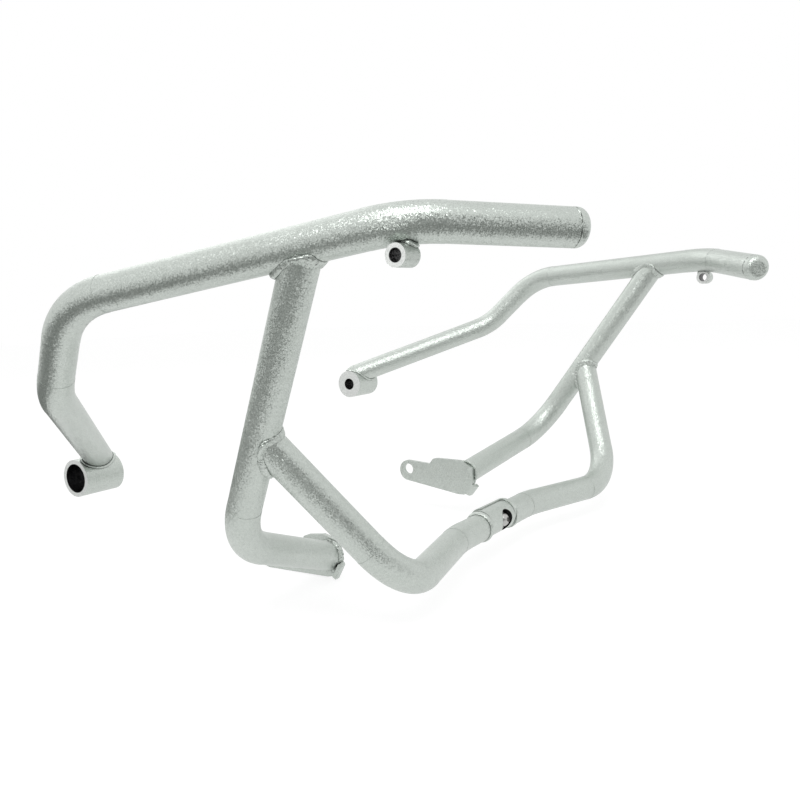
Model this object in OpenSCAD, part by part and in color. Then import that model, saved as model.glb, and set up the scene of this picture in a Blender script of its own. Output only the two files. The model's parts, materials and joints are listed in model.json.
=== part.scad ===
// Pair of motorcycle crash bars: two bent and welded tube frames joined by a half-lap coupling.
// X runs forward, Y to the rider's left and Z up. The origin is the bottom centre of the pair's box.
// Points are given in the bars' own frame, whose zero is the middle of the coupling.
// "Out" is the distance from the middle plane, on either side.

/* [Tubing] */
// Outside diameter of the bent tubes
tube_d = 25; // [23:0.5:27]
// Wall of the bent tubes
tube_wall = 2; // [1.5:0.25:3]
// Room left between a coped tube end and the tube it lands on
cope_gap = 0.2; // [0.1:0.05:0.4]
// Turn of the left bar about the cross axis, nose down, at the slack coupling
slack_turn = 7; // [0:0.5:9]
// Nose-up turn of the pair about the cross axis, as it stands when set down
stance = 8; // [7.5:0.5:9.5]

/* [Upper tube] */
// Front end, forward
nose_x = 192; // [182:1:205]
// Front end, out
nose_out = 199; // [189:1:209]
// Front end, up
nose_z = 222.5; // [216:0.5:230]
// Front bend, forward
shoulder_x = 127; // [120:1:134]
// Front bend, out
shoulder_out = 281; // [274:1:288]
// Front bend, up
shoulder_z = 237; // [230:1:244]
// Rear bend, back
hip_back = 106; // [96:1:116]
// Rear bend, out
hip_out = 343; // [335:1:360]
// Rear bend, up
hip_z = 231; // [224:1:240]
// Lower rear bend, back
elbow_back = 164; // [158:1:172]
// Lower rear bend, out
elbow_out = 323; // [315:1:331]
// Lower rear bend, up
elbow_z = 174; // [168:1:180]
// Radius of the front bend
shoulder_bend = 70; // [50:1:90]
// Radius of the rear bend
hip_bend = 65; // [50:1:75]
// Radius of the lower rear bend
elbow_bend = 60; // [45:1:70]

/* [Strut tube] */
// Where the strut meets the upper tube, forward
strut_top_x = 65; // [50:1:75]
// Bend, back
knee_back = 70; // [62:1:78]
// Bend, out
knee_out = 262; // [254:1:270]
// Bend, up
knee_z = 46; // [40:1:54]
// Radius of the bend
knee_bend = 60; // [45:1:70]
// Right foot, back
right_foot_back = 98; // [92:1:104]
// Right foot, out
right_foot_out = 128; // [120:1:136]
// Right foot, up
right_foot_z = 1; // [-4:1:8]
// Left foot, back
left_foot_back = 92; // [86:1:98]
// Left foot, out
left_foot_out = 109; // [101:1:117]
// Left foot, up
left_foot_z = 17; // [10:1:24]

/* [Cross tube] */
// Where the cross tube meets the strut, up
cross_top_z = 123; // [110:1:135]
// Chin bend, forward
chin_x = 35; // [28:1:42]
// Chin bend, out
chin_out = 205; // [195:1:215]
// Chin bend, down
chin_drop = 3; // [0:0.5:8]
// Last bend before the coupling, out
level_out = 72; // [66:1:80]
// Radius of the chin bend
chin_bend = 60; // [45:1:70]
// Radius of the last bend
level_bend = 90; // [70:1:110]

/* [Caps] */
// How far a cap stands out of the tube
cap_l = 8; // [7.5:0.5:12]
// Round edge of a cap
cap_edge = 6.5; // [3:0.5:6.5]
// Length of the plug inside the tube
cap_plug_l = 12; // [6:1:20]
// Width of the seam between cap and tube
cap_seam = 1.2; // [0.8:0.1:2]
// How deep the seam's bead lies below the tube's surface
seam_sink = 0.3; // [0.1:0.1:0.8]

/* [Rear sleeves] */
// Outside diameter
sleeve_d = 34; // [32:0.5:36]
// Length
sleeve_l = 40; // [38:1:44]
// Distance of the outer face from the middle plane
sleeve_out = 224; // [222:1:226]
// Axis, back
sleeve_back = 299; // [294:0.5:303]
// Axis of the right sleeve, up
right_sleeve_z = 100.5; // [98:0.5:104]
// Axis of the left sleeve, up
left_sleeve_z = 107.5; // [105:0.5:110]
// Bore of the right sleeve
right_sleeve_bore = 26; // [22:0.5:28]
// Bore of the left sleeve
left_sleeve_bore = 14; // [10:0.5:20]
// Right tube axis above its sleeve's axis where it passes over it
right_tail_rise = 13.5; // [11:0.5:15]
// Left tube axis above its sleeve's axis where it passes over it
left_tail_rise = 11; // [9:0.5:14]
// Right tube axis at the sleeve, distance from the sleeve's outer face
right_tail_inset = 29; // [25:0.5:31]
// Left tube axis at the sleeve, distance from the sleeve's outer face
left_tail_inset = 25; // [22:0.5:30]

/* [Accessory bosses] */
// Outside diameter
boss_d = 14; // [12:0.5:16]
// Threadless bore
boss_bore = 8; // [6:0.25:9]
// Length
boss_l = 16; // [12:0.5:20]
// Middle, forward
boss_x = 124; // [120:1:128]
// Middle, out
boss_out = 285; // [282:1:288]
// How far the boss is let into the tube's underside
boss_seat = 0.8; // [0.4:0.1:1.5]

/* [Lower plates] */
// Thickness
plate_t = 4; // [3:0.5:5]
// Hole in the rear lug
plate_hole = 12; // [9:0.5:13]
// Hole behind the foot of the strut
plate_hole_back = 70.5; // [66:0.5:76]
// Hole above the foot of the strut
plate_hole_up = 2.2; // [0:0.2:4]
// Radius of the rear lug
lug_r = 11.6; // [10.5:0.1:13]
// Middle of the rear lug below the hole
lug_drop = 1.7; // [0:0.1:2.5]
// Step up from the neck of the right plate, behind the foot
right_step_back = 30; // [27:0.5:46]
// Step up from the neck of the left plate, behind the foot
left_step_back = 42.5; // [36:0.5:48]
// Height of the neck at the step
neck_up = 9.5; // [8:0.5:11]
// Height of the plate above the foot
plate_above = 16.3; // [15:0.1:20]
// Fall of the top edge from its middle to the step
crest_fall = 0.9; // [0:0.1:2]
// Flat stretch of the top edge's rounding before the front edge
brow_run = 15; // [12:0.5:18]
// Fall of the top edge where that stretch starts
brow_fall = 1; // [0:0.1:3]
// Top of the front edge below the top edge
brow_drop = 8.5; // [6:0.5:12]
// Depth of the plate below the foot
plate_below = 22.5; // [20:0.5:25]
// Plate in front of the foot
plate_front = 12; // [10:0.5:16]
// Slanted corner at the front, behind the front edge
corner_back = 11.5; // [8:0.5:14]
// Slanted corner at the front, above the lower edge
corner_up = 13.5; // [10:0.5:16]
// Level stretch of the lower edge behind the slanted corner
toe_run = 7.5; // [4:0.5:12]
// Lift of the right plate against its foot
right_plate_lift = 4.5; // [0:0.5:4.5]
// Nose-up turn of the right plate about its foot
right_plate_turn = 3; // [0:0.5:6]
// Straight part of the lip folded outward along the slanted corner
lip_w = 4.5; // [2:0.5:8]
// Fold of the lip
lip_fold = 88; // [60:1:90]
// Inner radius of the fold
lip_r = 1; // [0.5:0.5:3]

/* [Coupling] */
// Right tube end, from the middle
right_shoulder = 29; // [24:0.5:32]
// Left tube end, from the middle
left_shoulder = 20; // [18:0.5:24]
// Radius of the lugs' round bar
lug_bar_r = 13.2; // [12.5:0.1:14.5]
// Axis of the right lug above the tube's
right_lug_rise = 1.8; // [0:0.1:2]
// Axis of the left lug above the tube's
left_lug_rise = 3.3; // [0:0.1:3.5]
// Full round part between tube end and lap
collar_l = 4; // [3:0.5:6]
// Room between the lap faces
lap_gap = 0.3; // [0.1:0.05:0.6]
// Depth of a lug's spigot in its tube
spigot_l = 14; // [8:1:24]
// Screw diameter
screw_d = 8; // [6:0.5:9]
// Screw head diameter
head_d = 14; // [12:0.5:15]
// Screw head height
head_h = 4.4; // [3:0.2:5.5]
// Hex socket, across flats
socket_af = 5; // [4:0.5:6]
// Hex socket, depth
socket_depth = 2.8; // [1.5:0.1:2.9]
// Washer diameter
washer_d = 16; // [15:0.5:17]
// Washer thickness
washer_t = 1.6; // [1:0.2:2.4]
// Counterbore diameter
pocket_d = 19; // [18:0.5:20]
// Floor of the counterbore, from the lap plane
pocket_floor = 5; // [4:0.25:6]

/* [Welds] */
// Leg of a weld bead on a tube
bead = 4; // [2.5:0.25:5]
// Leg of the bead at a sleeve
sleeve_bead = 2; // [1.5:0.25:3]
// Leg of the bead at an accessory boss
boss_bead = 2; // [1:0.25:3]
// Height of a bead on the tube that it lands on, as a share of its leg
bead_flat = 0.85; // [0.6:0.05:1]
// Crown of the coupling beads above the tube
bead_crown = 1.8; // [1:0.1:2.5]

/* [Hidden] */
$fn = 48;
COAT = "silver";
PLATED = "lightgray";

RIGHT = -1;
LEFT = 1;
tube_r = tube_d / 2;
bore_r = tube_r - tube_wall;
sleeve_r = sleeve_d / 2;
boss_r = boss_d / 2;
fit = 0.1;
touch = 0.05;
far = 60;
beyond = 1;
// Straights run this far into a bend, which is a hair fuller than they are
lap = 0.5;
bend_full = 0.15;
// The lip's profile starts this far inside the plate's edge
lip_root = 2;
bite = 0.01;

function unit(v) = v / norm(v);
function at_x(a, b, x) = a + (b - a) * (x - a.x) / (b.x - a.x);
function at_z(a, b, z) = a + (b - a) * (z - a.z) / (b.z - a.z);
function nose_down(p, angle) = [
    p.x * cos(angle) + p.z * sin(angle), p.y, p.z * cos(angle) - p.x * sin(angle)
];

function nose(side) = [nose_x, side * nose_out, nose_z];
function shoulder(side) = [shoulder_x, side * shoulder_out, shoulder_z];
function hip(side) = [-hip_back, side * hip_out, hip_z];
function elbow(side) = [-elbow_back, side * elbow_out, elbow_z];
function sleeve_z(side) = side == RIGHT ? right_sleeve_z : left_sleeve_z;
function tail(side) = side == RIGHT
    ? [-sleeve_back, right_tail_inset - sleeve_out, right_sleeve_z + right_tail_rise]
    : [-sleeve_back, sleeve_out - left_tail_inset, left_sleeve_z + left_tail_rise];
function strut_top(side) = at_x(shoulder(side), hip(side), strut_top_x);
function knee(side) = [-knee_back, side * knee_out, knee_z];
function foot(side) = side == RIGHT
    ? [-right_foot_back, -right_foot_out, right_foot_z]
    : [-left_foot_back, left_foot_out, left_foot_z];
function cross_top(side) = at_z(strut_top(side), knee(side), cross_top_z);
function chin(side) = [chin_x, side * chin_out, -chin_drop];
function level(side) = [0, side * level_out, 0];
function tube_end(side) = [0, side * (side == RIGHT ? right_shoulder : left_shoulder), 0];

// Middle of the front bend's arc, on the tube's axis
function bend_middle(a, b, c, radius) =
    let (u = unit(a - b), w = unit(c - b), half = acos(u * w) / 2)
    b + unit(u + w) * (radius / sin(half) - radius);
function boss_centre(side) =
    let (m = bend_middle(nose(side), shoulder(side), hip(side), shoulder_bend))
    [boss_x, side * boss_out, m.z - tube_r - boss_r + boss_seat];

function turn(side) = side == LEFT ? slack_turn - stance : -stance;

// Places on a lower plate, X forward and Y up from its foot
step_run = 5;
lug_middle = [-plate_hole_back, plate_hole_up - lug_drop];
lip_top = [plate_front, corner_up - plate_below];
lip_low = [plate_front - corner_back, -plate_below];
heel = [lip_low.x - toe_run, -plate_below];
heel_sight = heel - lug_middle;
heel_angle = atan2(heel_sight.y, heel_sight.x) - acos(lug_r / norm(heel_sight));
function on_plate(side, p) =
    let (a = side == RIGHT ? right_plate_turn : 0, lift = side == RIGHT ? right_plate_lift : 0)
    [foot(side).x + p.x * cos(a) - p.y * sin(a), foot(side).y, foot(side).z + lift + p.x * sin(a) + p.y * cos(a)];

// The pair's box: its front is the left cap, its back the right sleeve, its foot the right plate's lug
nose_dir = nose_down(unit(nose(LEFT) - shoulder(LEFT)), turn(LEFT));
box_front = nose_down(nose(LEFT), turn(LEFT)).x + (cap_seam + cap_l - cap_edge) * nose_dir.x
    + (tube_r - cap_edge) * sqrt(1 - pow(nose_dir.x, 2)) + cap_edge;
box_back = nose_down([-sleeve_back, 0, right_sleeve_z], turn(RIGHT)).x - sleeve_r;
middle_x = (box_front + box_back) / 2;
foot_z = nose_down(on_plate(RIGHT, lug_middle), turn(RIGHT)).z - lug_r;

module rod(a, b, radius) {
    v = b - a;
    translate(a)
        rotate([0, acos(v.z / norm(v)), atan2(v.y, v.x)])
            cylinder(h = norm(v), r = radius);
}

// Part of a ring that leads from the straight a-b into the straight b-c
module bend(a, b, c, bend_r, radius) {
    u = unit(a - b);
    w = unit(c - b);
    half = acos(u * w) / 2;
    centre = b + unit(u + w) * bend_r / sin(half);
    start = b + u * bend_r / tan(half);
    x_axis = unit(start - centre);
    z_axis = cross(x_axis, -u);
    multmatrix([
        [x_axis.x, -u.x, z_axis.x, centre.x],
        [x_axis.y, -u.y, z_axis.y, centre.y],
        [x_axis.z, -u.z, z_axis.z, centre.z],
        [0, 0, 0, 1]
    ])
        rotate_extrude(angle = 180 - 2 * half)
            translate([bend_r, 0])
                circle(r = radius + bend_full);
}

// Length of straight that a bend takes up at its corner
function cut(a, b, c, bend_r) = bend_r / tan(acos(unit(a - b) * unit(c - b)) / 2);

// Solid route through points, with a bend radius for each inner point
module route(points, bends, radius) {
    last = len(points) - 1;
    for (i = [0 : last - 1]) {
        a = points[i];
        b = points[i + 1];
        along = unit(b - a);
        lead = i == 0 ? 0 : cut(points[i - 1], a, b, bends[i]) - lap;
        trail = i == last - 1 ? 0 : cut(a, b, points[i + 2], bends[i + 1]) - lap;
        rod(a + along * lead, b - along * trail, radius);
    }
    for (i = [1 : last - 1])
        bend(points[i - 1], points[i], points[i + 1], bends[i], radius);
}

// Bent tube, open at both ends
module pipe(points, bends) {
    last = len(points) - 1;
    first_out = unit(points[0] - points[1]) * beyond;
    last_out = unit(points[last] - points[last - 1]) * beyond;
    inner = [
        for (i = [0 : last])
            i == 0 ? points[0] + first_out : i == last ? points[last] + last_out : points[i]
    ];
    difference() {
        route(points, bends, tube_r);
        route(inner, bends, bore_r);
    }
}

// Everything behind the top of the rear sleeve
module behind_sleeve(side) {
    translate([-sleeve_back - far, side * sleeve_out - far, sleeve_z(side) - far])
        cube([far, 2 * far, 2 * far]);
}

module sleeve_body(side, radius, grow) {
    translate([-sleeve_back, side * (sleeve_out - sleeve_l / 2), sleeve_z(side)])
        rotate([90, 0, 0])
            cylinder(h = sleeve_l + 2 * grow, r = radius, center = true);
}

module upper_tube(side) {
    s = tail(side);
    past = s + unit(s - elbow(side)) * far / 2;
    difference() {
        pipe(
            [nose(side), shoulder(side), hip(side), elbow(side), past],
            [0, shoulder_bend, hip_bend, elbow_bend, 0]
        );
        sleeve_body(side, sleeve_r + cope_gap, far / 2);
        behind_sleeve(side);
    }
}

// Turns a piece drawn along +Z from zero so that it leaves point a in direction d
module aim(a, d) {
    translate(a)
        rotate([0, acos(d.z), atan2(d.y, d.x)])
            children();
}

module upper_cap(side) {
    aim(nose(side), unit(nose(side) - shoulder(side))) {
        translate([0, 0, -cap_plug_l])
            cylinder(h = cap_plug_l + cap_seam, r = bore_r - fit);
        translate([0, 0, cap_seam])
            rotate_extrude() {
                square([tube_r, cap_l - cap_edge]);
                square([tube_r - cap_edge, cap_l]);
                translate([tube_r - cap_edge, cap_l - cap_edge])
                    intersection() {
                        circle(r = cap_edge);
                        square(cap_edge);
                    }
            }
    }
}

module cap_weld(side) {
    aim(nose(side), unit(nose(side) - shoulder(side)))
        translate([0, 0, touch])
            difference() {
                cylinder(h = cap_seam - 2 * touch, r = tube_r - seam_sink);
                translate([0, 0, -beyond])
                    cylinder(h = cap_seam + 2 * beyond, r = bore_r);
            }
}

module strut_tube(side) {
    past = foot(side) + unit(foot(side) - knee(side)) * far / 2;
    difference() {
        pipe([strut_top(side), knee(side), past], [0, knee_bend, 0]);
        rod(shoulder(side), hip(side), tube_r + cope_gap);
        inside_foot(side);
    }
}

// Everything inboard of the outer face of the lower plate
module inside_foot(side) {
    translate([foot(side).x - far, foot(side).y - (side == LEFT ? 2 * far : 0), foot(side).z - far])
        cube([2 * far, 2 * far, 2 * far]);
}

module cross_tube(side) {
    difference() {
        pipe(
            [cross_top(side), chin(side), level(side), tube_end(side)],
            [0, chin_bend, level_bend, 0]
        );
        rod(strut_top(side), knee(side), tube_r + cope_gap);
    }
}

// Bead in the corner between branch a-b and the tube c-d that it lands on, on the branch's side of it
module saddle_bead(a, b, c, d) {
    along = unit(d - c);
    branch = unit(b - a);
    difference() {
        intersection() {
            rod(a, b, tube_r + bead);
            rod(c, d, tube_r + bead * bead_flat);
        }
        rod(a, b, tube_r + touch);
        rod(c, d, tube_r + cope_gap);
        aim(a, unit(branch - along * (branch * along)))
            translate([-far, -far, bead - 2 * far])
                cube(2 * far);
    }
}

module strut_weld(side) {
    saddle_bead(strut_top(side), knee(side), shoulder(side), hip(side));
}

module cross_weld(side) {
    saddle_bead(cross_top(side), chin(side), strut_top(side), knee(side));
}

module rear_sleeve(side) {
    bore = side == RIGHT ? right_sleeve_bore : left_sleeve_bore;
    difference() {
        sleeve_body(side, sleeve_r, 0);
        sleeve_body(side, bore / 2, beyond);
    }
}

// Bead round the tube's landing, with a pad that closes the tube above the sleeve
module sleeve_weld(side) {
    s = tail(side);
    along = unit(s - elbow(side));
    start = s - along * far;
    past = s + along * far / 2;
    difference() {
        union() {
            intersection() {
                rod(start, past, tube_r + sleeve_bead);
                sleeve_body(side, sleeve_r + sleeve_bead * bead_flat, -touch);
            }
            difference() {
                rod(start, past, tube_r);
                translate([-sleeve_back, side * sleeve_out - far, sleeve_z(side) - far])
                    cube(2 * far);
            }
        }
        difference() {
            rod(start - along, past + along, tube_r + touch);
            behind_sleeve(side);
        }
        sleeve_body(side, sleeve_r + touch, far / 2);
        translate([-sleeve_back - bead - far, side * sleeve_out - far, sleeve_z(side) - far])
            cube([far, 2 * far, 2 * far]);
        translate([-sleeve_back - far, side * sleeve_out - far, sleeve_z(side) - far])
            cube([far, 2 * far, far]);
    }
}

module boss_body(side, radius, grow) {
    translate(boss_centre(side))
        rotate([90, 0, 0])
            cylinder(h = boss_l + 2 * grow, r = radius, center = true);
}

module shoulder_stretch(side, radius) {
    a = nose(side);
    b = shoulder(side);
    c = hip(side);
    lead = b + unit(a - b) * far;
    trail = b + unit(c - b) * far;
    route([lead, b, trail], [0, shoulder_bend, 0], radius);
}

module accessory_boss(side) {
    difference() {
        boss_body(side, boss_r, 0);
        boss_body(side, boss_bore / 2, beyond);
        shoulder_stretch(side, tube_r + cope_gap);
    }
}

module boss_weld(side) {
    difference() {
        intersection() {
            boss_body(side, boss_r + boss_bead, -touch);
            shoulder_stretch(side, tube_r + bead * bead_flat);
        }
        boss_body(side, boss_r + touch, beyond);
        shoulder_stretch(side, tube_r + cope_gap);
    }
}

// Plate with X forward and Y up, its foot at zero
module plate_outline(side) {
    step_back = side == RIGHT ? right_step_back : left_step_back;
    polygon([
        [lug_middle.x, lug_middle.y + lug_r],
        [-step_back, neck_up],
        [-step_back + step_run, plate_above - crest_fall],
        [-step_back + 2 * step_run, plate_above],
        [plate_front - brow_run, plate_above - brow_fall],
        [plate_front, plate_above - brow_drop],
        lip_top,
        lip_low,
        heel,
        lug_middle + (lug_r - touch) * [cos(heel_angle), sin(heel_angle)]
    ]);
    translate(lug_middle)
        circle(r = lug_r);
}

// Puts what is drawn with X away from the plate and Y up along its slanted corner at the corner's lower end
module at_corner() {
    edge = lip_top - lip_low;
    translate([lip_low.x, lip_low.y, 0])
        rotate([0, 0, atan2(edge.y, edge.x) - 90])
            children();
}

// Lip along the slanted corner: its profile turns outward from the plate's edge
module plate_lip() {
    at_corner()
        translate([0, lip_root, 0])
            rotate([-90, 0, 0])
                mirror([0, 1, 0])
                    linear_extrude(norm(lip_top - lip_low) - 2 * lip_root)
                        lip_profile();
}

// Section of the lip: X away from the plate, Y outward
module lip_profile() {
    translate([-lip_root, 0])
        square([lip_root + bite, plate_t]);
    translate([0, plate_t + lip_r]) {
        intersection() {
            difference() {
                circle(r = lip_r + plate_t);
                circle(r = lip_r);
            }
            polygon([
                [0, 0],
                [0, -2 * (lip_r + plate_t)],
                2 * (lip_r + plate_t) * [1, -1],
                2 * (lip_r + plate_t) * [sin(lip_fold), -cos(lip_fold)]
            ]);
        }
        rotate(lip_fold - 90)
            translate([lip_r, -bite])
                square([plate_t, lip_w + bite]);
    }
}

// Puts what is drawn with X forward, Y up and Z outward, its foot at zero, at the foot of a strut
module at_foot(side) {
    mirror([0, side == RIGHT ? 1 : 0, 0])
        translate([foot(side).x, abs(foot(side).y) - touch, on_plate(side, [0, 0]).z])
            rotate([0, side == RIGHT ? -right_plate_turn : 0, 0])
                rotate([90, 0, 0])
                    mirror([0, 0, 1])
                        translate([0, 0, -plate_t])
                            children();
}

module lower_plate(side) {
    at_foot(side)
        difference() {
            union() {
                linear_extrude(plate_t) plate_outline(side);
                plate_lip();
            }
            translate([-plate_hole_back, plate_hole_up, -beyond])
                cylinder(h = plate_t + 2 * beyond, d = plate_hole);
        }
}

// Bead round the foot of a strut, which ends at the plate's lip
module plate_weld(side) {
    along = unit(foot(side) - knee(side));
    start = foot(side) - along * far / 2;
    past = foot(side) + along * far / 2;
    difference() {
        intersection() {
            rod(start, past, tube_r + bead * bead_flat);
            translate([foot(side).x - far, foot(side).y - (side == LEFT ? 0 : bead), foot(side).z - far])
                cube([2 * far, bead, 2 * far]);
        }
        rod(start - along, past + along, tube_r + touch);
        at_foot(side)
            at_corner()
                translate([-touch, -far, 0])
                    cube([far, 2 * far, far]);
    }
}

function lug_rise(side) = side == RIGHT ? right_lug_rise : left_lug_rise;

// Lug: spigot, collar and the half of the round on the given side of the lap plane
module coupling_lug(side) {
    own = side == RIGHT ? right_shoulder : left_shoulder;
    other = side == RIGHT ? left_shoulder : right_shoulder;
    reach = other - collar_l - lap_gap;
    rise = lug_rise(side);
    difference() {
        union() {
            rod([0, side * (own + spigot_l), 0], [0, side * (own - collar_l), 0], bore_r - fit);
            rod([0, side * (own - touch), rise], [0, -side * reach, rise], lug_bar_r);
        }
        translate([side == RIGHT ? lap_gap / 2 - far : -lap_gap / 2, side == RIGHT ? collar_l - own : -far, -far / 2])
            cube([far, side == RIGHT ? far + own : far + own - collar_l, far]);
        rod([-far / 2, 0, 0], [far / 2, 0, 0], screw_d / 2 + (side == RIGHT ? fit * 2 : touch));
        if (side == RIGHT)
            rod([pocket_floor, 0, 0], [far / 2, 0, 0], pocket_d / 2);
    }
}

// Round bead in the step between a cross tube's end and its lug, which sits a little higher
module lug_weld(side) {
    own = side == RIGHT ? right_shoulder : left_shoulder;
    rise = lug_rise(side);
    difference() {
        translate([0, side * (own + bead / 2), rise / 3])
            rotate([90, 0, 0])
                rotate_extrude()
                    translate([tube_r - bead_crown, 0])
                        circle(r = 2 * bead_crown);
        rod([0, side * (own - far / 2), 0], [0, side * (own + far / 2), 0], tube_r + touch);
        rod([0, side * (own - far / 2), rise], [0, side * own, rise], lug_bar_r + touch);
    }
}

module coupling_washer() {
    difference() {
        rod([pocket_floor + touch, 0, 0], [pocket_floor + washer_t, 0, 0], washer_d / 2);
        rod([0, 0, 0], [far, 0, 0], screw_d / 2 + fit);
    }
}

// Button head screw: a ball segment for the head, with a hex socket
module coupling_screw() {
    seat = pocket_floor + washer_t + touch;
    socket_floor = head_h - socket_depth;
    dome_r = (pow(head_d / 2, 2) + pow(head_h, 2)) / (2 * head_h);
    tail_x = sqrt(pow(tube_r, 2) - pow(screw_d / 2, 2)) - beyond;
    difference() {
        union() {
            rod([-tail_x, 0, 0], [seat + socket_floor / 2, 0, 0], screw_d / 2);
            translate([seat, 0, 0])
                rotate([0, 90, 0])
                    rotate_extrude()
                        intersection() {
                            translate([0, head_h - dome_r])
                                circle(r = dome_r);
                            square([head_d, head_h]);
                        }
        }
        translate([seat + socket_floor, 0, 0])
            rotate([0, 90, 0])
                cylinder(h = head_h, d = socket_af / cos(30), $fn = 6);
    }
}

// Puts a right or left piece in the pair's frame; the left bar hangs nose down at the coupling
module place(side) {
    color(COAT)
        translate([-middle_x, 0, -foot_z])
            rotate([0, turn(side), 0])
                children();
}

// Puts a piece of the coupling, which the right bar holds straight, in the pair's frame
module place_coupling(finish) {
    color(finish)
        translate([-middle_x, 0, -foot_z])
            rotate([0, turn(RIGHT), 0])
                children();
}

place(RIGHT) upper_tube(RIGHT);  // right_upper_tube
place(RIGHT) upper_cap(RIGHT);  // right_upper_cap
place(RIGHT) cap_weld(RIGHT);  // right_cap_weld
place(RIGHT) strut_tube(RIGHT);  // right_strut_tube
place(RIGHT) cross_tube(RIGHT);  // right_cross_tube
place_coupling(COAT) coupling_lug(RIGHT);  // right_coupling_lug
place(RIGHT) rear_sleeve(RIGHT);  // right_rear_sleeve
place(RIGHT) accessory_boss(RIGHT);  // right_accessory_boss
place(RIGHT) lower_plate(RIGHT);  // right_lower_plate
place(RIGHT) strut_weld(RIGHT);  // right_strut_weld
place(RIGHT) cross_weld(RIGHT);  // right_cross_weld
place(RIGHT) sleeve_weld(RIGHT);  // right_sleeve_weld
place(RIGHT) boss_weld(RIGHT);  // right_boss_weld
place(RIGHT) plate_weld(RIGHT);  // right_plate_weld
place_coupling(COAT) lug_weld(RIGHT);  // right_lug_weld
place(LEFT) upper_tube(LEFT);  // left_upper_tube
place(LEFT) upper_cap(LEFT);  // left_upper_cap
place(LEFT) cap_weld(LEFT);  // left_cap_weld
place(LEFT) strut_tube(LEFT);  // left_strut_tube
place(LEFT) cross_tube(LEFT);  // left_cross_tube
place_coupling(COAT) coupling_lug(LEFT);  // left_coupling_lug
place(LEFT) rear_sleeve(LEFT);  // left_rear_sleeve
place(LEFT) accessory_boss(LEFT);  // left_accessory_boss
place(LEFT) lower_plate(LEFT);  // left_lower_plate
place(LEFT) strut_weld(LEFT);  // left_strut_weld
place(LEFT) cross_weld(LEFT);  // left_cross_weld
place(LEFT) sleeve_weld(LEFT);  // left_sleeve_weld
place(LEFT) boss_weld(LEFT);  // left_boss_weld
place(LEFT) plate_weld(LEFT);  // left_plate_weld
place_coupling(COAT) lug_weld(LEFT);  // left_lug_weld
place_coupling(PLATED) coupling_screw();
place_coupling(PLATED) coupling_washer();
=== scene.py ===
"""A pair of motorcycle crash bars in a plain white studio: sparkle powder coat over hand-laid welds."""
import json
import math
from collections import namedtuple
from contextlib import contextmanager

import bmesh
import bpy
import numpy as np
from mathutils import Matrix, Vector, noise
from mathutils.bvhtree import BVHTree


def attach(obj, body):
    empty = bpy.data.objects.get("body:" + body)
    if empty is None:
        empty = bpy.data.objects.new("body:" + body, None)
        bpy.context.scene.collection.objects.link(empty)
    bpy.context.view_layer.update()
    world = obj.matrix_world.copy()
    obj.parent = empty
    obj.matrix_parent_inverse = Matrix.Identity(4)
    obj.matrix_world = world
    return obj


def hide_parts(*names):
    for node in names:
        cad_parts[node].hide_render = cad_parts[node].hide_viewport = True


MM = 0.001
FORWARD = Vector((1.0, 0.0, 0.0))
UPWARD = Vector((0.0, 0.0, 1.0))

# Sides: the sign of Y there, and the first seed of the weld beads' unevenness
Side = namedtuple("Side", "name sign first_seed")
SIDES = (Side("right", -1, 1), Side("left", 1, 11))

# Camera: the photograph's place in metres and its angles in degrees, with lens and sensor in millimetres
CAMERA_PLACE = (0.4222, -0.6973, 0.2398)
CAMERA_TURN = (83.35, 2.229, 33.188)
LENS = 38.4
SENSOR_WIDTH = 36.0
NEAREST_SEEN = 0.01

# Studio: places and sizes in metres, powers in watts
WORLD_LEVEL = 0.55
FLOOR_HALF = 6.0
FLOOR_ROUGHNESS = 0.9
FLOOR_GLOW = 1.2
FLOOR_GLOW_SHARE = 0.7
SET_MIDDLE = (0.0, 0.0, 0.15)
LAMPS = {
    "key": {"place": (0.6, -1.2, 1.8), "target": SET_MIDDLE, "width": 1.0, "height": 0.7, "power": 15.0},
    "fill": {"place": (-1.6, 0.6, 1.6), "target": SET_MIDDLE, "width": 1.4, "height": 1.4, "power": 5.0},
    "front": {"place": (0.34, -0.88, 0.25), "target": (0.15, -0.29, 0.28), "width": 0.18, "height": 0.10,
              "power": 0.4},
}

# Dark cards round the set: first and last angle in degrees, radii and heights of both edges in metres
FLAG_STEPS = 24
FLAGS = {
    "low_flag": {"angles": (-200.0, 20.0), "radii": (0.46, 0.95), "heights": (0.005, 0.12)},
    "camera_flag": {"angles": (-85.0, -25.0), "radii": (0.95, 1.0), "heights": (0.12, 0.55)},
}

# Colours are linear
COAT_PALE = (0.620, 0.660, 0.625)
COAT_DEEP = (0.480, 0.520, 0.485)
END_PALE = (0.800, 0.820, 0.800)
# Dark for weld pits, for inside the bores, and for painted shade in corners and in the screw's pocket
DARK_FOR_PITS_BORES_AND_PAINTED_SHADE = (0.030, 0.030, 0.031)
PLATED = (0.560, 0.560, 0.545)
FLOOR_GREY = (0.850, 0.850, 0.850)
FLAG_GREY = (0.220, 0.230, 0.220)
WHITE = (1.0, 1.0, 1.0)

# Noises: size in millimetres, and how much finer noise lies on it
CLOUDS = {"size_mm": 40.0, "detail": 3.0}
ORANGE_PEEL = {"size_mm": 1.2, "detail": 2.0, "roughness": 0.55}
PITS = {"size_mm": 1.6, "detail": 1.0}
SCRATCHES = {"size_mm": 0.6, "detail": 4.0}

# Spans: the values of a noise, an edge or a shade between which a look changes
WHOLE_SPAN = (0.0, 1.0)
CLOUD_SPAN = (0.35, 0.65)
PIT_SPAN = (0.64, 0.72)
SCRATCH_SPAN = (0.3, 0.7)
END_SPAN = (0.90, 0.97)
PAINTED_SHADE_SPAN = (0.15, 0.55)
WALL_SPAN_MM = (0.1, 0.4)

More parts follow.
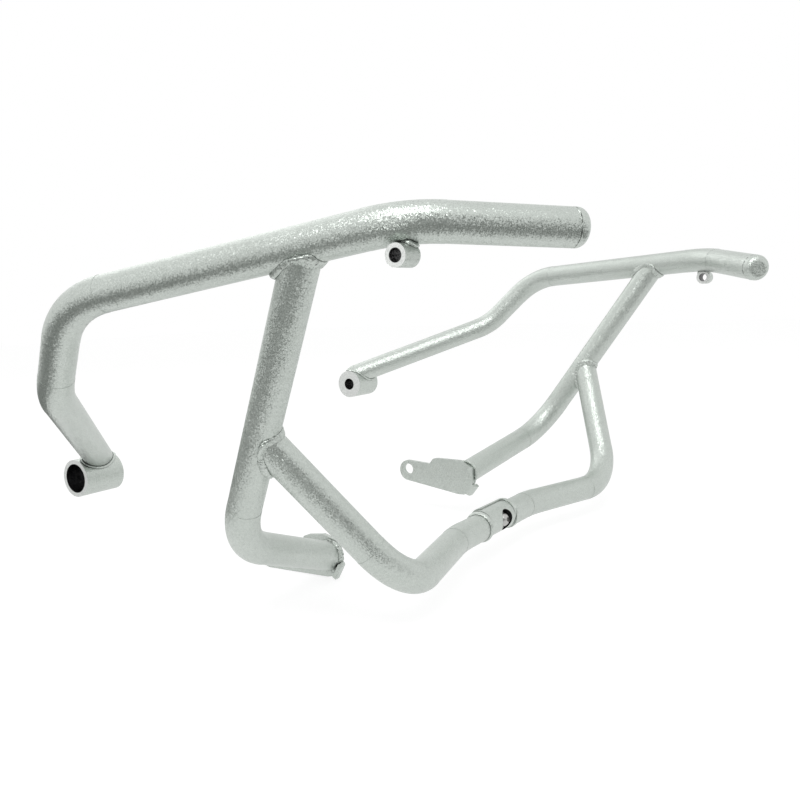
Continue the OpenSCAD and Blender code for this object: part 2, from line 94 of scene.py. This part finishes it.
# Powder coat: lengths in millimetres
FLAKE_SIZE = 0.6
FLAKE_TILT = 0.40
FLAKE_PALENESS = (0.15, 1.0)
CLOUD_PALENESS = (0.75, 1.0)
COAT_ROUGHNESS = (0.30, 0.44)
COAT_METAL = 0.88
COAT_IOR = 1.5
END_METAL = 0.15
PIT_DARKNESS = 0.75
PEEL_DEPTH = 0.07
TUBE_PEEL = 0.35
BEAD_PEEL = 0.5
# Painted shade in corners: how far it reaches in millimetres, and its number of samples
PAINTED_SHADE_REACH = 2.5
PAINTED_SHADE_SAMPLES = 4

# Plated screw and washer: lengths in millimetres. The screw stands out, to show in its pocket
PLATED_ROUGHNESS = (0.25, 0.42)
SCRATCH_DEPTH = 0.03
SCRATCH_STRENGTH = 0.5
SCRATCH_SHADE = 0.75
SCREW_OUT = 2.9
SCREW_SHARE = 0.87
# Room beyond the washer within which the lug's coat is darkened: painted shade in the screw's pocket
POCKET_SHADE_ROOM = 1.5

# Weld beads: grain of the mesh, spread, ripples and lumps in millimetres
Bead = namedtuple("Bead", "grain rounds spread ripple lump lump_size pitted")
JOINT_BEAD = Bead(grain=0.45, rounds=3, spread=0.30, ripple=0.32, lump=0.45, lump_size=4.0, pitted=True)
CAP_BEAD = Bead(grain=0.22, rounds=2, spread=0.1, ripple=0.1, lump=0.7, lump_size=2.5, pitted=True)
SLEEVE_BEAD = Bead(grain=0.45, rounds=3, spread=0.0, ripple=0.1, lump=0.2, lump_size=4.0, pitted=False)
LUG_BEAD = Bead(grain=0.45, rounds=5, spread=0.0, ripple=0.05, lump=0.1, lump_size=4.0, pitted=False)

# Ripples: their pitch in millimetres, and the size of their wandering in lump sizes
BEAD_PITCH = 3.4
WANDER_SIZE = 2.5
SEED_STEPS = (7.3, 3.1, 5.7)

# Fillets: legs on the first and the second joined piece in millimetres, and how they thin at the sides
JOINT_LEGS = (4.0, 3.4)
BOSS_LEGS = (2.0, 3.4)
PLATE_LEGS = (3.4, 4.0)
SIDE_LEG = 0.42
CROTCH_SHARE = 0.9
BEAD_FULLNESS = 1.4
BLUNTEST_CORNER = 0.35

# Mesh work: distances in metres, and how far each smoothing goes
MERGE_DISTANCE = 1e-6
SMALLEST_GAP = 1e-6
SMOOTHING = 0.5

# Welds of one side, in the order of their seeds
Weld = namedtuple("Weld", "node bead joined legs run", defaults=(None, JOINT_LEGS, FORWARD))
WELDS = (
    Weld("strut_weld", JOINT_BEAD, ("strut_tube", "upper_tube")),
    Weld("cross_weld", JOINT_BEAD, ("cross_tube", "strut_tube"), run=UPWARD),
    Weld("boss_weld", JOINT_BEAD, ("accessory_boss", "upper_tube"), legs=BOSS_LEGS),
    Weld("plate_weld", JOINT_BEAD, ("strut_tube", "lower_plate"), legs=PLATE_LEGS),
    Weld("sleeve_weld", SLEEVE_BEAD),
    Weld("lug_weld", LUG_BEAD),
    Weld("cap_weld", CAP_BEAD),
)

PLAIN_PARTS = ("upper_tube", "upper_cap", "strut_tube", "cross_tube", "lower_plate")
BORED_PARTS = {"rear_sleeve": "rear_bore", "accessory_boss": "boss_bore"}

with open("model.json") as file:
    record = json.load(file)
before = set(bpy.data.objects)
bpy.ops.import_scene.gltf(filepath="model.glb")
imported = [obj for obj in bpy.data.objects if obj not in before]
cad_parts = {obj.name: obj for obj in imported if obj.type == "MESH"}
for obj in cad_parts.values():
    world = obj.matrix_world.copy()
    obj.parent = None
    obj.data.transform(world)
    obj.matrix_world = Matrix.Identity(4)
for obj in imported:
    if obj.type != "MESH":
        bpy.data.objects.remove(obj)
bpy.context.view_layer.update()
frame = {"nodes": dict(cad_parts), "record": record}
nodes = frame["nodes"]
mounts = {mount["name"]: mount for mount in frame["record"]["mounts"]}


# Shader nodes
def new_material(name):
    material = bpy.data.materials.new(name)
    material.use_nodes = True
    tree = material.node_tree
    return material, tree, tree.nodes["Principled BSDF"]


def add(tree, kind, **settings):
    node = tree.nodes.new(kind)
    for key, value in settings.items():
        setattr(node, key, value)
    return node


def feed(tree, socket, value):
    """Gives a node's input a number, a vector, a colour or another node's output."""
    if isinstance(value, bpy.types.NodeSocket):
        tree.links.new(value, socket)
    elif socket.type == "RGBA":
        socket.default_value = (*value, 1.0)
    else:
        socket.default_value = value


def put(tree, node, **values):
    for key, value in values.items():
        feed(tree, node.inputs[key.replace("_", " ")], value)


def put_in_order(tree, node, *values):
    for socket, value in zip(node.inputs, values):
        feed(tree, socket, value)


def number_math(tree, operation, *values):
    node = add(tree, "ShaderNodeMath", operation=operation)
    put_in_order(tree, node, *values)
    return node.outputs["Value"]


def vector_math(tree, operation, *values):
    node = add(tree, "ShaderNodeVectorMath", operation=operation)
    put_in_order(tree, node, *values)
    gives_number = operation in ("DOT_PRODUCT", "LENGTH")
    return node.outputs["Value" if gives_number else "Vector"]


def object_place(tree):
    return add(tree, "ShaderNodeTexCoord").outputs["Object"]


def surface_normal(tree):
    return add(tree, "ShaderNodeNewGeometry").outputs["Normal"]


def noise_at(tree, place, size_mm, detail, roughness=0.5):
    texture = add(tree, "ShaderNodeTexNoise")
    put(tree, texture, Vector=place, Scale=1.0 / (size_mm * MM), Detail=detail, Roughness=roughness)
    return texture.outputs["Fac"]


def stretch(tree, value, span, onto=WHOLE_SPAN):
    """Maps one span of values evenly onto another, and keeps to that one's ends outside."""
    node = add(tree, "ShaderNodeMapRange")
    put(tree, node, Value=value, From_Min=span[0], From_Max=span[1], To_Min=onto[0], To_Max=onto[1])
    return node.outputs["Result"]


def mix_colours(tree, factor, first, second):
    node = add(tree, "ShaderNodeMix", data_type="RGBA")
    put(tree, node, Factor=factor, A=first, B=second)
    return node.outputs["Result"]


def mix_shaders(tree, factor, first, second, output):
    node = add(tree, "ShaderNodeMixShader")
    put_in_order(tree, node, factor, first, second)
    put(tree, tree.nodes[output], Surface=node.outputs["Shader"])


def bump(tree, height, depth_mm, strength, **under):
    node = add(tree, "ShaderNodeBump")
    put(tree, node, Height=height, Strength=strength, Distance=depth_mm * MM, **under)
    return node.outputs["Normal"]


# Materials
def flake_normal(tree, place):
    """Normal tilted at random from one metal flake to the next, and the flakes' random colours."""
    cells = add(tree, "ShaderNodeTexVoronoi")
    put(tree, cells, Vector=place, Scale=1.0 / (FLAKE_SIZE * MM))
    flakes = cells.outputs["Color"]
    half = 3 * (0.5,)
    centred = vector_math(tree, "SUBTRACT", flakes, half)
    tilts = vector_math(tree, "MULTIPLY", centred, 3 * (FLAKE_TILT,))
    tilted = vector_math(tree, "ADD", surface_normal(tree), tilts)
    return vector_math(tree, "NORMALIZE", tilted), flakes


def inside_wall(tree, place, middle, axis, radius):
    """1 nearer to a line than the radius, 0 further out."""
    away = vector_math(tree, "SUBTRACT", place, middle)
    across = vector_math(tree, "CROSS_PRODUCT", away, axis)
    edge = [radius + value * MM for value in WALL_SPAN_MM]
    return stretch(tree, vector_math(tree, "LENGTH", across), edge, (1.0, 0.0))


def end_faces(tree, axis):
    """1 on faces square to the axis, 0 elsewhere."""
    along = vector_math(tree, "DOT_PRODUCT", surface_normal(tree), axis)
    return stretch(tree, number_math(tree, "ABSOLUTE", along), END_SPAN)


def painted_shade_openness(tree):
    """Mask for painted shade: 1 in the open, falling to 0 deep in a corner."""
    shade = add(tree, "ShaderNodeAmbientOcclusion", samples=PAINTED_SHADE_SAMPLES)
    put(tree, shade, Distance=PAINTED_SHADE_REACH * MM)
    return stretch(tree, shade.outputs["AO"], PAINTED_SHADE_SPAN)


def sparkle_coat(name, peel=TUBE_PEEL, line=None, pale_ends=False, pitted=False):
    """Sparkle powder coat, with painted shade that darkens it in corners, and darker within a line's
    radius. Faces square to it may be paler.
    """
    material, tree, shader = new_material(name)
    put(tree, shader, Metallic=COAT_METAL, IOR=COAT_IOR)
    place = object_place(tree)
    tilted, flakes = flake_normal(tree, place)
    fleck = add(tree, "ShaderNodeSeparateColor")
    put(tree, fleck, Color=flakes)
    speck = stretch(tree, fleck.outputs["Red"], WHOLE_SPAN, FLAKE_PALENESS)
    cloud = stretch(tree, noise_at(tree, place, **CLOUDS), CLOUD_SPAN, CLOUD_PALENESS)
    colour = mix_colours(tree, number_math(tree, "MULTIPLY", speck, cloud), COAT_DEEP, COAT_PALE)
    if pale_ends:
        ends = end_faces(tree, line[1])
        colour = mix_colours(tree, ends, colour, END_PALE)
        put(tree, shader, Metallic=stretch(tree, ends, WHOLE_SPAN, (COAT_METAL, END_METAL)))
    if pitted:
        pit = stretch(tree, noise_at(tree, place, **PITS), PIT_SPAN, (0.0, PIT_DARKNESS))
        colour = mix_colours(tree, pit, colour, DARK_FOR_PITS_BORES_AND_PAINTED_SHADE)
    # Darker within the line's radius: painted shade in the screw's pocket on the lug, and darker inside
    # the bores
    if line is not None:
        colour = mix_colours(tree, inside_wall(tree, place, *line), colour, DARK_FOR_PITS_BORES_AND_PAINTED_SHADE)
    # Painted shade: the coat darkens deep in corners, from ambient occlusion
    colour = mix_colours(tree, painted_shade_openness(tree), DARK_FOR_PITS_BORES_AND_PAINTED_SHADE, colour)
    rough = stretch(tree, fleck.outputs["Green"], WHOLE_SPAN, COAT_ROUGHNESS)
    normal = bump(tree, noise_at(tree, place, **ORANGE_PEEL), PEEL_DEPTH, peel, Normal=tilted)
    put(tree, shader, Base_Color=colour, Roughness=rough, Normal=normal)
    return material


def plated_steel():
    material, tree, shader = new_material("plated_steel")
    scratch = noise_at(tree, object_place(tree), **SCRATCHES)
    deep = [SCRATCH_SHADE * value for value in PLATED]
    colour = mix_colours(tree, stretch(tree, scratch, SCRATCH_SPAN), deep, PLATED)
    rough = stretch(tree, scratch, SCRATCH_SPAN, PLATED_ROUGHNESS)
    normal = bump(tree, scratch, SCRATCH_DEPTH, SCRATCH_STRENGTH)
    put(tree, shader, Base_Color=colour, Roughness=rough, Normal=normal, Metallic=1.0)
    return material


# Objects and meshes
def new_object(name, data):
    thing = bpy.data.objects.new(name, data)
    bpy.context.scene.collection.objects.link(thing)
    return thing


@contextmanager
def edited(mesh):
    """A mesh opened for editing, and written back at the end."""
    work = bmesh.new()
    work.from_mesh(mesh)
    yield work
    work.to_mesh(mesh)
    work.free()


def read_vectors(items, name):
    values = np.empty(3 * len(items))
    items.foreach_get(name, values)
    return values.reshape(-1, 3)


def dress(piece, material):
    piece.data.materials.clear()
    piece.data.materials.append(material)
    for face in piece.data.polygons:
        face.material_index = 0


def stand_for(piece, node):
    """Puts a rigid piece in the place of a CAD node."""
    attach(piece, "root")
    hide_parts(node)


# Weld beads
def rounded_copy(node, name, grain_mm, rounds):
    """Copy of a CAD node, remeshed evenly and rounded."""
    mesh = nodes[node].data.copy()
    with edited(mesh) as work:
        bmesh.ops.remove_doubles(work, verts=work.verts, dist=MERGE_DISTANCE)
    rough = new_object(name + "_rough", mesh)
    remesh = rough.modifiers.new("remesh", "REMESH")
    remesh.mode = "VOXEL"
    remesh.voxel_size = grain_mm * MM
    smooth = rough.modifiers.new("smooth", "SMOOTH")
    smooth.factor = SMOOTHING
    smooth.iterations = rounds
    graph = bpy.context.evaluated_depsgraph_get()
    result = bpy.data.meshes.new_from_object(rough.evaluated_get(graph))
    bpy.data.objects.remove(rough)
    result.name = name
    return new_object(name, result)


def tree_of(node):
    mesh = nodes[node].data
    return BVHTree.FromPolygons([v.co for v in mesh.vertices], [f.vertices for f in mesh.polygons])


def fillet(mesh, joined, legs, run, rounds):
    """Draws a bead's outer corner in, to fill the corner between two nodes.

    It is full where it crosses the line of the run through its middle, and thin at its sides."""
    trees = [tree_of(node) for node in joined]
    middle = sum((vertex.co for vertex in mesh.vertices), Vector()) / len(mesh.vertices)
    for vertex in mesh.vertices:
        share = abs((vertex.co - middle).normalized().dot(run))
        size = SIDE_LEG + (1.0 - SIDE_LEG) * min(share / CROTCH_SHARE, 1.0) ** 2
        away = [vertex.co - tree.find_nearest(vertex.co)[0] for tree in trees]
        gaps = [max(arm.length, SMALLEST_GAP) for arm in away]
        ways = [arm / gap for arm, gap in zip(away, gaps)]
        reach = sum((gap / (leg * size * MM)) ** BEAD_FULLNESS for gap, leg in zip(gaps, legs))
        if reach <= 1.0:
            continue
        keep = reach ** (-1.0 / BEAD_FULLNESS)
        slant = ways[0].dot(ways[1])
        square = max(1.0 - slant * slant, BLUNTEST_CORNER)
        draw = (gaps[0] - slant * gaps[1]) / square, (gaps[1] - slant * gaps[0]) / square
        vertex.co -= (1.0 - keep) * (draw[0] * ways[0] + draw[1] * ways[1])
    every_axis = {"use_axis_x": True, "use_axis_y": True, "use_axis_z": True}
    with edited(mesh) as work:
        for _ in range(rounds):
            bmesh.ops.smooth_vert(work, verts=work.verts, factor=SMOOTHING, **every_axis)
    mesh.update()


def along_ring(points):
    """Distance along a ring-shaped bead, from the angle in its own plane."""
    arms = points - points.mean(axis=0)
    axes = np.linalg.svd(arms, full_matrices=False)[2]
    angle = np.arctan2(arms @ axes[1], arms @ axes[0])
    radius = np.linalg.norm(arms, axis=1).mean()
    return angle * radius


def make_uneven(mesh, bead, seed):
    """Pushes a bead's surface out, in overlapping ripples and uneven lumps."""
    points = read_vectors(mesh.vertices, "co")
    normals = read_vectors(mesh.vertices, "normal")
    run = along_ring(points) / MM
    shift = Vector([seed * step for step in SEED_STEPS])
    push = np.empty(len(points))
    for i, point in enumerate(points):
        here = Vector(point) / MM
        uneven = noise.noise(here / bead.lump_size + shift)
        wander = noise.noise(here / (WANDER_SIZE * bead.lump_size) - shift)
        phase = run[i] / BEAD_PITCH + wander
        ripple = 1.0 - abs(2.0 * (phase - math.floor(phase)) - 1.0) ** 2
        push[i] = bead.spread + bead.ripple * (ripple - 0.5) + bead.lump * uneven
    points += normals * (push * MM)[:, None]
    mesh.vertices.foreach_set("co", points.ravel())
    mesh.polygons.foreach_set("use_smooth", [True] * len(mesh.polygons))
    mesh.update()


def lay_weld(side, weld, seed, material):
    node = f"{side.name}_{weld.node}"
    piece = rounded_copy(node, node + "_laid", weld.bead.grain, weld.bead.rounds)
    if weld.joined is not None:
        joined = [f"{side.name}_{part}" for part in weld.joined]
        fillet(piece.data, joined, weld.legs, weld.run, weld.bead.rounds)
    make_uneven(piece.data, weld.bead, seed)
    dress(piece, material)
    stand_for(piece, node)
    return piece


def cut_outer(mesh, place, sign):
    """Keeps the part of a bead on the inner side of a plane across Y."""
    with edited(mesh) as work:
        geometry = work.verts[:] + work.edges[:] + work.faces[:]
        bmesh.ops.bisect_plane(work, geom=geometry, plane_co=(0.0, place, 0.0), plane_no=(0.0, sign, 0.0),
                               clear_outer=True)
        bmesh.ops.holes_fill(work, edges=[edge for edge in work.edges if edge.is_boundary])


# Bores and screw
def bore_line(mount):
    return tuple(mount["pos_m"]), tuple(mount["axis"]), mount["dims"]["r_mm"] * MM


def screw_line():
    """The screw's middle and its axis, from its own mesh."""
    points = read_vectors(nodes["coupling_screw"].data.vertices, "co")
    middle = points.mean(axis=0)
    axis = np.linalg.svd(points - middle, full_matrices=False)[2][0]
    return Vector(middle), Vector(axis if axis[0] > 0 else -axis)


def draw_screw_out(middle, axis, material):
    """Copy of the screw, a little slimmer and further out along its axis."""
    node = "coupling_screw"
    piece = new_object(node + "_drawn_out", nodes[node].data.copy())
    for vertex in piece.data.vertices:
        along = (vertex.co - middle).dot(axis)
        across = vertex.co - middle - along * axis
        vertex.co = middle + (along + SCREW_OUT * MM) * axis + SCREW_SHARE * across
    dress(piece, material)
    stand_for(piece, node)


# Studio
def set_camera():
    camera = bpy.data.cameras.new("camera")
    camera.lens = LENS
    camera.sensor_width = SENSOR_WIDTH
    camera.clip_start = NEAREST_SEEN
    holder = new_object("camera", camera)
    holder.location = CAMERA_PLACE
    holder.rotation_euler = [math.radians(angle) for angle in CAMERA_TURN]
    bpy.context.scene.camera = holder


def area_lamp(name, place, target, width, height, power):
    lamp = bpy.data.lights.new(name, "AREA")
    lamp.shape = "RECTANGLE"
    lamp.size = width
    lamp.size_y = height
    lamp.energy = power
    holder = new_object(name, lamp)
    holder.location = place
    holder.rotation_euler = (Vector(target) - Vector(place)).to_track_quat("-Z", "Y").to_euler()


def background_ray(tree):
    """1 for rays that come straight from the camera, a mirror or glass."""
    path = add(tree, "ShaderNodeLightPath")
    total = path.outputs["Is Camera Ray"]
    for kind in ("Is Glossy Ray", "Is Transmission Ray"):
        total = number_math(tree, "MAXIMUM", total, path.outputs[kind])
    return total


def white_world():
    world = bpy.data.worlds.new("studio")
    bpy.context.scene.world = world
    world.use_nodes = True
    tree = world.node_tree
    light = tree.nodes["Background"]
    put(tree, light, Color=WHITE, Strength=WORLD_LEVEL)
    white = add(tree, "ShaderNodeBackground")
    put(tree, white, Color=WHITE)
    seen = background_ray(tree)
    mix_shaders(tree, seen, light.outputs["Background"], white.outputs["Background"], "World Output")


def pale_floor():
    mesh = bpy.data.meshes.new("floor")
    corners = [(x * FLOOR_HALF, y * FLOOR_HALF, 0.0) for x, y in ((-1, -1), (1, -1), (1, 1), (-1, 1))]
    mesh.from_pydata(corners, [], [(0, 1, 2, 3)])
    floor = new_object("floor", mesh)
    material, tree, shader = new_material("studio_floor")
    put(tree, shader, Base_Color=FLOOR_GREY, Roughness=FLOOR_ROUGHNESS)
    glow = add(tree, "ShaderNodeEmission")
    put(tree, glow, Strength=FLOOR_GLOW)
    seen = stretch(tree, background_ray(tree), WHOLE_SPAN, (0.0, FLOOR_GLOW_SHARE))
    mix_shaders(tree, seen, shader.outputs["BSDF"], glow.outputs["Emission"], "Material Output")
    mesh.materials.append(material)


def ring_flag(name, angles, radii, heights):
    """Dark card round the set, which only shows as a band in the metal."""
    corners = []
    for i in range(FLAG_STEPS + 1):
        turn = math.radians(angles[0] + (angles[1] - angles[0]) * i / FLAG_STEPS)
        for radius, height in zip(radii, heights):
            corners.append((radius * math.cos(turn), radius * math.sin(turn), height))
    mesh = bpy.data.meshes.new(name)
    mesh.from_pydata(corners, [], [(i, i + 1, i + 3, i + 2) for i in range(0, 2 * FLAG_STEPS, 2)])
    card = new_object(name, mesh)
    material, tree, shader = new_material(name)
    put(tree, shader, Base_Color=FLAG_GREY, Roughness=1.0)
    mesh.materials.append(material)
    card.visible_camera = False
    card.visible_diffuse = False
    card.visible_shadow = False


set_camera()
bpy.context.scene.view_settings.view_transform = "Standard"
white_world()
pale_floor()
for name, lamp in LAMPS.items():
    area_lamp(name, **lamp)
for name, flag in FLAGS.items():
    ring_flag(name, **flag)

screw_middle, screw_axis = screw_line()
pocket_shade_radius = 0.5 * nodes["coupling_washer"].dimensions.y + POCKET_SHADE_ROOM * MM
tube_coat = sparkle_coat("sparkle_coat")
# The lug's coat is darkened round the screw: painted shade in its pocket
lug_coat = sparkle_coat("lug_coat", line=(screw_middle, screw_axis, pocket_shade_radius))
pitted_coat = sparkle_coat("weld_coat", peel=BEAD_PEEL, pitted=True)
smooth_coat = sparkle_coat("seam_coat", peel=BEAD_PEEL)
steel = plated_steel()

for side in SIDES:
    for part in PLAIN_PARTS:
        dress(nodes[f"{side.name}_{part}"], tube_coat)
    dress(nodes[f"{side.name}_coupling_lug"], lug_coat)
    for part, bore in BORED_PARTS.items():
        line = bore_line(mounts[f"{side.name}_{bore}"])
        bored_coat = sparkle_coat(f"{side.name}_{part}_coat", line=line, pale_ends=True)
        dress(nodes[f"{side.name}_{part}"], bored_coat)
    beads = {}
    for seed, weld in enumerate(WELDS, side.first_seed):
        beads[weld.node] = lay_weld(side, weld, seed, pitted_coat if weld.bead.pitted else smooth_coat)
    cut_outer(beads["boss_weld"].data, mounts[f"{side.name}_boss_bore"]["pos_m"][1], side.sign)
draw_screw_out(screw_middle, screw_axis, steel)
dress(nodes["coupling_washer"], steel)
